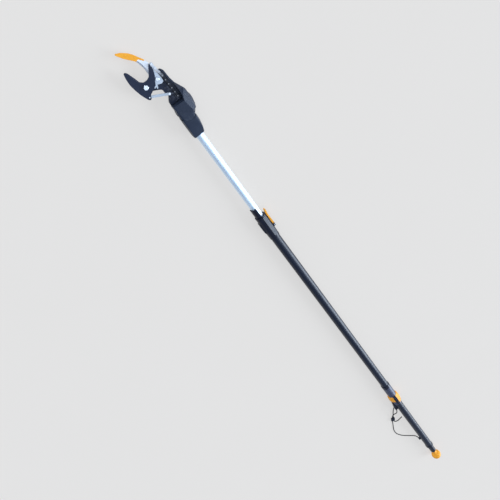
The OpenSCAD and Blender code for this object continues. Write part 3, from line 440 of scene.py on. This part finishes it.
def coated_tube():
    """Gloss black tube with faint rub lines along it."""
    dark, light = (0.004, 0.008, 0.021), (0.006, 0.011, 0.027)
    material, tree, shader = plain_finish("black_tube", dark, roughness=0.4, mirror=0.33)
    lines = use(tree, LINES, Stretch=(3.0, 500.0, 500.0))
    vary_colour(tree, shader, lines.outputs["Streaks"], dark, light)
    vary(tree, lines.outputs["Streaks"], shader.inputs["Roughness"], low=0.36, high=0.46)
    return material


def coated_steel():
    """Dark slippery coating on steel, rubbed to bare metal on its corners."""
    coating, bare = (0.010, 0.017, 0.040), (0.10, 0.11, 0.14)
    material, tree, shader = plain_finish("coated_steel", coating, roughness=0.32, mirror=0.25)
    rubbed = use(tree, RUBBED, From=0.54, To=0.64)
    skin = use(tree, SKIN, Grain=1200.0, Drift=60.0)
    vary_colour(tree, shader, rubbed.outputs["Mask"], coating, bare)
    vary(tree, rubbed.outputs["Mask"], shader.inputs["Metallic"], low=0.0, high=0.7)
    vary(tree, skin.outputs["Gloss drift"], shader.inputs["Roughness"], low=0.24, high=0.42)
    raise_surface(tree, shader, skin.outputs["Height"], depth=0.03)
    return material


def chain_with_painted_shade(name, dark, light):
    """Chain steel: bright at the lever, with painted shade where it runs into the housing."""
    # Painted shade: darker up to the first X, the full bright colour from the second X on
    shaded_to_x, lit_from_x = 0.145, 0.175
    material, tree, shader = plain_finish(name, light, roughness=0.35, metallic=1.0)
    where = place(tree, "ShaderNodeTexCoord")
    parts = place(tree, "ShaderNodeSeparateXYZ")
    lit_share = place(tree, "ShaderNodeMapRange")
    lit_share.inputs["From Min"].default_value = shaded_to_x
    lit_share.inputs["From Max"].default_value = lit_from_x
    tree.links.new(where.outputs["Object"], parts.inputs["Vector"])
    tree.links.new(parts.outputs["X"], lit_share.inputs["Value"])
    vary_colour(tree, shader, lit_share.outputs["Result"], dark, light)
    skin = use(tree, SKIN, Grain=900.0, Drift=120.0)
    vary(tree, skin.outputs["Gloss drift"], shader.inputs["Roughness"], low=0.28, high=0.46)
    raise_surface(tree, shader, skin.outputs["Height"], depth=0.02)
    return material


def braided_cord():
    """Black braid with a soft nap."""
    dark, light = (0.001, 0.001, 0.002), (0.006, 0.006, 0.008)
    material, tree, shader = plain_finish("cord", dark, roughness=0.8)
    braid = use(tree, BRAID)
    vary_colour(tree, shader, braid.outputs["Height"], dark, light)
    raise_surface(tree, shader, braid.outputs["Height"], depth=0.35)
    shader.inputs["Sheen Weight"].default_value = 0.05
    return material


# How the lines of each metal are stretched along X, Y and Z
ALONG_TUBE = (4.0, 700.0, 700.0)
ACROSS_PLATE = (900.0, 30.0, 900.0)
BRIGHT_TURNED = (300.0, 300.0, 900.0)
DARK_TURNED = (400.0, 400.0, 900.0)

FINISH = {
    "black_tube": coated_tube(),
    "silver_tube": lined_metal("silver_tube", (0.72, 0.85, 1.0), (0.80, 0.92, 1.0), (0.55, 0.68), ALONG_TUBE),
    "head_plastic": plastic("head_plastic", (0.014, 0.022, 0.042), (0.022, 0.032, 0.058), (0.32, 0.46),
                            worn=(0.03, 0.04, 0.062), mirror=0.28),
    "black_plastic": plastic("black_plastic", (0.006, 0.008, 0.019), (0.010, 0.013, 0.027), (0.26, 0.4),
                             worn=(0.03, 0.034, 0.046), mirror=0.26),
    "sleeve_plastic": plastic("sleeve_plastic", (0.034, 0.041, 0.080), (0.046, 0.055, 0.098), (0.38, 0.52),
                              depth=0.08),
    "orange_plastic": plastic("orange_plastic", (0.89, 0.365, 0.028), (0.95, 0.425, 0.040), (0.42, 0.56),
                              depth=0.03, mirror=0.2),
    "coated_steel": coated_steel(),
    "blade_steel": lined_metal("blade_steel", (0.76, 0.81, 0.88), (0.88, 0.92, 0.97), (0.42, 0.56),
                               ACROSS_PLATE),
    # A darker copy of the blade steel: painted shade on the lever and the brace
    "shaded_steel": lined_metal("shaded_steel", (0.50, 0.56, 0.63), (0.60, 0.66, 0.73), (0.42, 0.56),
                               ACROSS_PLATE),
    "bolt_steel": lined_metal("bolt_steel", (0.76, 0.83, 0.90), (0.84, 0.90, 0.96), (0.18, 0.32),
                              BRIGHT_TURNED),
    "dark_steel": lined_metal("dark_steel", (0.03, 0.032, 0.04), (0.07, 0.074, 0.09), (0.3, 0.46),
                              DARK_TURNED),
    # Chain plates with painted shade where they run into the housing
    "chain_steel": chain_with_painted_shade("chain_steel", (0.035, 0.037, 0.043), (0.62, 0.66, 0.72)),
    "cord": braided_cord(),
    "strap": plastic("strap", (0.008, 0.008, 0.01), (0.014, 0.014, 0.017), (0.5, 0.65), grain=900.0,
                     depth=0.1),
}


# Rigid parts with rounded edges: the width of the rounding in millimetres

ROUNDING = {
    "clamp_collar": 0.8, "clamp_pin": 0.4, "clamp_lever": 0.9, "stop_ring": 0.5, "cord_eyelet": 0.8,
    "end_cap": 0.5, "base_screws": 0.3, "tilt_bolt": 0.6, "tilt_nut": 0.6, "chassis": 0.4,
    "chassis_screws": 0.2, "hook_spacer": 0.3, "brace": 0.5, "brace_screws": 0.4, "blade_nut": 0.5,
    "lever_nut": 0.5, "pivot_washers": 0.3, "tip_guard": 0.7, "guard_rivets": 0.3, "drive_lever": 0.4,
    "lever_pin": 0.3, "chain_outer_plates": 0.25, "chain_inner_plates": 0.25, "handle_sleeve": 0.6,
    "saddle": 0.6, "cord_lug": 0.9, "handle_screws": 0.3,
}
# Parts whose steel is painted darker than that of their slot, as painted shade
OWN_FINISH = {"drive_lever": "shaded_steel", "brace": "shaded_steel"}
# Parts that are shown as packed
HIDDEN_INSIDE = ["guide_bush", "ball_strap", "foot_bush", "tube_pin", "shuttle", "drive_strap"]
BARE_TUBES = ["outer_tube", "inner_tube"]

for node, width in ROUNDING.items():
    rounded_part(node, FINISH[OWN_FINISH.get(node, slot_of[node])], width)

for node in ("base_upper", "base_lower", "housing_upper", "housing_lower"):
    rounded_part(node, FINISH["head_plastic"], width=1.4, segments=3, steep=24, keep_sharp=on_tilt_seam)

rounded_part("blade", FINISH["blade_steel"], width=0.25, reshape=ground_blade)
rounded_part("hook", FINISH["coated_steel"], width=0.8, reshape=ground_beak)
# The chain pins carry the same painted shade inside the housing
rounded_part("chain_pins", chain_with_painted_shade("chain_pins", (0.26, 0.27, 0.29), (0.84, 0.86, 0.90)), width=0.3)

for node in HIDDEN_INSIDE + BARE_TUBES:
    for socket in frame["nodes"][node].material_slots:
        socket.material = FINISH[slot_of[node]]


# Pivot bolts


def pivot_bolt(node, pivot, shank_r, cap_t, head, hollow):
    """A bolt from its packed box: a shank, and a head with a hollow in its top.

    The head and the hollow are levels of (share of the cap's height, share of its radius, six-sided).
    """
    low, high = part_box(node)
    cap_r = (high.x - low.x) / 2
    under = high.z - cap_t
    levels = [(low.z, shank_r, False), (under, shank_r, False)]
    levels += [(under + cap_t * share, cap_r * width, six) for share, width, six in head + hollow]
    mesh = stacked(pivot, levels)
    shade(mesh, sharp_degrees=30)
    piece = add_piece(node + "_turned", mesh, FINISH["bolt_steel"], body_of[node])
    even_normals(piece)
    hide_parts(node)


# Inner radius of a hexagon whose corners are as far out as the round cap
HEX_INNER = 0.866
pivot_bolt("blade_bolt", PIVOT["blade_close"], shank_r=4.0 * MM, cap_t=3.6 * MM,
           head=[(0, HEX_INNER, True), (0.66, HEX_INNER, True), (0.94, 0.84, False), (1, 0.78, False)],
           hollow=[(1, 0.26, False), (0.86, 0.2, False)])
pivot_bolt("lever_bolt", PIVOT["lever_turn"], shank_r=3.5 * MM, cap_t=3.6 * MM,
           head=[(0, 1, False), (0.7, 1, False), (0.93, 0.93, False), (1, 0.84, False)],
           hollow=[(1, 0.42, True), (0.45, 0.42, True)])


# Grips: two wings over the sleeve


def wing_share(t):
    """Reach of the wings along their length, from the back end to the front end."""
    marks = [(0, 0.5), (0.25, 0.92), (0.55, 1.0), (0.85, 0.86), (1, 0.62)]
    line = smooth_line([Vector((x, y, 0)) for x, y in marks], steps=12)
    near = min(line, key=lambda p: abs(p.x - t))
    return near.y


def wing(node, side):
    """One wing: an oval outside over the sleeve's round inside, closed along the middle strip."""
    low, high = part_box(node)
    reach = max(abs(low.y), abs(high.y)) - SLEEVE_R
    crown = (high.z - low.z) / 2 - SLEEVE_R
    inner_y = min(abs(low.y), abs(high.y))
    fullness, stations, around, end_round = 1.7, 26, 28, 3.0 * MM
    end_half, end_rise, inner_height = 0.72, 0.4, 0.98
    rings = []
    for i in range(stations + 1):
        t = i / stations
        x = low.x + (high.x - low.x) * t
        from_end = min(x - low.x, high.x - x)
        ease = 1 - max(0.0, 1 - from_end / end_round) ** 2
        share = wing_share(t)
        half, rise = SLEEVE_R + reach * share, SLEEVE_R + crown * share
        half = SLEEVE_R + (half - SLEEVE_R) * (end_half + (1 - end_half) * ease)
        rise = SLEEVE_R + (rise - SLEEVE_R) * (end_rise + (1 - end_rise) * ease)
        ring = []
        for k in range(around + 1):
            turn = pi * k / around
            y = half * abs(sin(turn)) ** (2 / fullness)
            z = rise * abs(cos(turn)) ** (2 / fullness) * (1 if turn < pi / 2 else -1)
            ring.append(Vector((x, side * max(y, inner_y), AXIS_Z + z)))
        for k in range(around + 1):
            turn = pi * (1 - k / around)
            y = max(SLEEVE_R * sin(turn), inner_y)
            ring.append(Vector((x, side * y, AXIS_Z + SLEEVE_R * cos(turn) * inner_height)))
        rings.append(ring)
    mesh = loft(rings)
    bmesh.ops.remove_doubles(mesh, verts=mesh.verts, dist=0.01 * MM)
    shade(mesh, sharp_degrees=50)
    piece = add_piece(node + "_grip", mesh, FINISH["orange_plastic"], body_of[node])
    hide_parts(node)


wing("right_wing", -1)
wing("left_wing", 1)


# End ball


def end_ball():
    """Pull ball with its own neck: a round ball that flows into the neck, with a bevelled rim at the end."""
    low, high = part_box("end_ball")
    radius = (high.y - low.y) / 2
    middle = low.x + radius
    neck_r, rim, steps, tip_r = 9.5 * MM, 0.8 * MM, 48, 0.02 * MM
    curve_from = neck_r + 1.5 * MM
    profile = []
    for i in range(steps + 1):
        turn = pi * i / steps
        x, r = middle - radius * cos(turn), radius * sin(turn)
        if x > middle and r < curve_from:
            break
        profile.append((x, max(r, tip_r)))
    # A small hollow curve leads from the ball to the neck
    joint_x = middle + (radius ** 2 - neck_r ** 2) ** 0.5
    profile += [(joint_x + 0.6 * MM, neck_r + 0.3 * MM), (joint_x + 2 * MM, neck_r)]
    profile += [(high.x - rim, neck_r), (high.x, neck_r - rim), (high.x, tip_r)]
    mesh = turned(profile, steps=72)
    shade(mesh, sharp_degrees=40)
    piece = add_piece("end_ball_round", mesh, FINISH["orange_plastic"], body_of["end_ball"])
    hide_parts("end_ball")


end_ball()


# Wrist cord: from the eyelet over the floor to the toggle, through the lug's eye and back, to a short tail

CORD_D = 4.0 * MM
# Points of the route in millimetres, with x counted from the sleeve's back end
CORD_ROUTE = [
    (-325, 20.5, 17), (-323.3, 21.8, 11.8), (-319.6, 24.5, 7.2), (-314.6, 28.3, 4.2), (-307.8, 33.4, 2.8),
    (-296, 42.3, 2.3), (-276, 57.5, 2.2), (-255, 72, 2.2), (-233, 83, 2.2), (-213, 89.5, 2.2),
    (-195, 91.3, 2.2), (-177, 89.5, 2.2), (-157, 83.5, 2.2), (-139, 77, 2.2), (-124, 72, 3),
    (-112.5, 68.6, 5), (-102.5, 65.1, 5.3), (-86, 58.5, 7.4), (-72.5, 52.2, 12), (-61, 46.4, 19),
    (-51.5, 40.4, 27), (-43.8, 35, 33.4), (-39.2, 31.6, 35.5), (-34.5, 27.7, 34.3), (-31.3, 25.1, 30.4),
    (-30, 24, 25.2), (-30, 24, 20), (-31.2, 24.75, 15), (-34.5, 26.7, 10.9), (-39.8, 29.7, 8.6),
    (-52, 36.4, 6.8), (-66, 43.7, 5.8), (-81, 50.3, 5.4), (-97.5, 56.6, 5.2), (-110.5, 62.1, 5),
    (-123, 63.5, 3.4), (-134, 59.5, 2.2), (-139, 49, 2.2), (-138, 36, 2.2), (-135, 23, 2.2)]


def wrist_cord():
    """Braided cord along a fixed route between the pole and the sliding handle."""
    points = [Vector((SLEEVE_END_X + x * MM, y * MM, z * MM)) for x, y, z in CORD_ROUTE]
    line = smooth_line(points, steps=8)
    length = sum((b - a).length for a, b in zip(line, line[1:]))
    mesh = tube_along(line, CORD_D / 2, sides=12)
    piece = add_piece("wrist_cord", mesh, FINISH["cord"], None)
    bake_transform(piece)
    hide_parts("cord")
    return piece, line, length


def cord_toggle():
    """Two-hole toggle that gathers the loop."""
    return rounded_part("toggle", FINISH["black_plastic"], width=1.4, segments=3, steep=20)


cord_piece, cord_line, cord_length = wrist_cord()
toggle_piece = cord_toggle()


# Floor, light and camera

FLOOR_DARK, FLOOR_LIGHT = (0.19, 0.169, 0.147), (0.20, 0.179, 0.157)
FLOOR_GLOW = 0.575
ROOM_STRENGTH = 1.3


def pale_floor():
    """A wide plain floor just under the resting tool, lit from within so that shadows stay faint."""
    mesh = bmesh.new()
    bmesh.ops.create_grid(mesh, x_segments=8, y_segments=8, size=15)
    data = bpy.data.meshes.new("pale_floor")
    mesh.to_mesh(data)
    mesh.free()
    material, tree, shader = plain_finish("pale_floor", FLOOR_LIGHT, roughness=0.9, mirror=0.1)
    skin = use(tree, SKIN, Grain=300.0, Drift=3.0)
    vary_colour(tree, shader, skin.outputs["Gloss drift"], FLOOR_DARK, FLOOR_LIGHT)
    shader.inputs["Emission Color"].default_value = (1, 1, 1, 1)
    shader.inputs["Emission Strength"].default_value = FLOOR_GLOW
    data.materials.append(material)
    floor = bpy.data.objects.new("pale_floor", data)
    floor.location.z = -0.3 * MM
    bpy.context.scene.collection.objects.link(floor)


# Shades of the room by height, from the horizon to overhead
ROOM_SHADES = [(0.0, (0.55, 0.57, 0.60)), (0.4, (0.24, 0.27, 0.33)), (0.76, (0.14, 0.18, 0.26)),
               (0.92, (0.72, 0.80, 0.92)), (1.0, (0.82, 0.90, 1.0))]

# Broad soft lights: name, colour, energy, spread in degrees and heading
LIGHTS = [("right_light", (0.76, 0.87, 1.0), 4.2, 38, (0.6, 0.72, -0.36)),
          ("front_light", (0.86, 0.93, 1.0), 1.25, 50, (-0.93, 0.0, -0.36))]


def soft_light():
    """A room that is pale overhead and at the horizon, and the broad lights."""
    world = bpy.data.worlds.new("pale_room")
    world.use_nodes = True
    tree = world.node_tree
    where = place(tree, "ShaderNodeTexCoord")
    parts = place(tree, "ShaderNodeSeparateXYZ")
    shades = place(tree, "ShaderNodeValToRGB")
    while len(shades.color_ramp.elements) < len(ROOM_SHADES):
        shades.color_ramp.elements.new(1.0)
    for mark, (height, colour) in zip(shades.color_ramp.elements, ROOM_SHADES):
        mark.position = height
        mark.color = (*colour, 1)
    tree.links.new(where.outputs["Generated"], parts.inputs["Vector"])
    tree.links.new(parts.outputs["Z"], shades.inputs["Fac"])
    tree.links.new(shades.outputs["Color"], tree.nodes["Background"].inputs["Color"])
    tree.nodes["Background"].inputs["Strength"].default_value = ROOM_STRENGTH
    bpy.context.scene.world = world
    for name, colour, energy, spread, heading in LIGHTS:
        light = bpy.data.lights.new(name, "SUN")
        light.color = colour
        light.energy = energy
        light.angle = radians(spread)
        lamp = bpy.data.objects.new(name, light)
        lamp.rotation_euler = Vector(heading).to_track_quat("-Z", "Y").to_euler()
        bpy.context.scene.collection.objects.link(lamp)


# The photograph's view: where the camera stands, and its right, up and back directions
CAMERA_PLACE = Vector((0.4915, 0.0929, 1.4844))
CAMERA_RIGHT = Vector((-0.522, -0.7828, 0.3388))
CAMERA_UP = Vector((0.6566, -0.6223, -0.4261))
CAMERA_BACK = Vector((0.5444, 0.0, 0.8388))


def photo_camera():
    """A camera at the photograph's viewing angle."""
    lens = bpy.data.cameras.new("photo_camera")
    lens.lens = 38.2
    lens.sensor_width = 36
    lens.clip_end = 50
    camera = bpy.data.objects.new("photo_camera", lens)
    turn = Matrix((CAMERA_RIGHT, CAMERA_UP, CAMERA_BACK)).transposed().to_4x4()
    camera.matrix_world = Matrix.Translation(CAMERA_PLACE) @ turn
    bpy.context.scene.collection.objects.link(camera)
    bpy.context.scene.camera = camera


pale_floor()
soft_light()
photo_camera()
bpy.context.scene.view_settings.view_transform = "Standard"
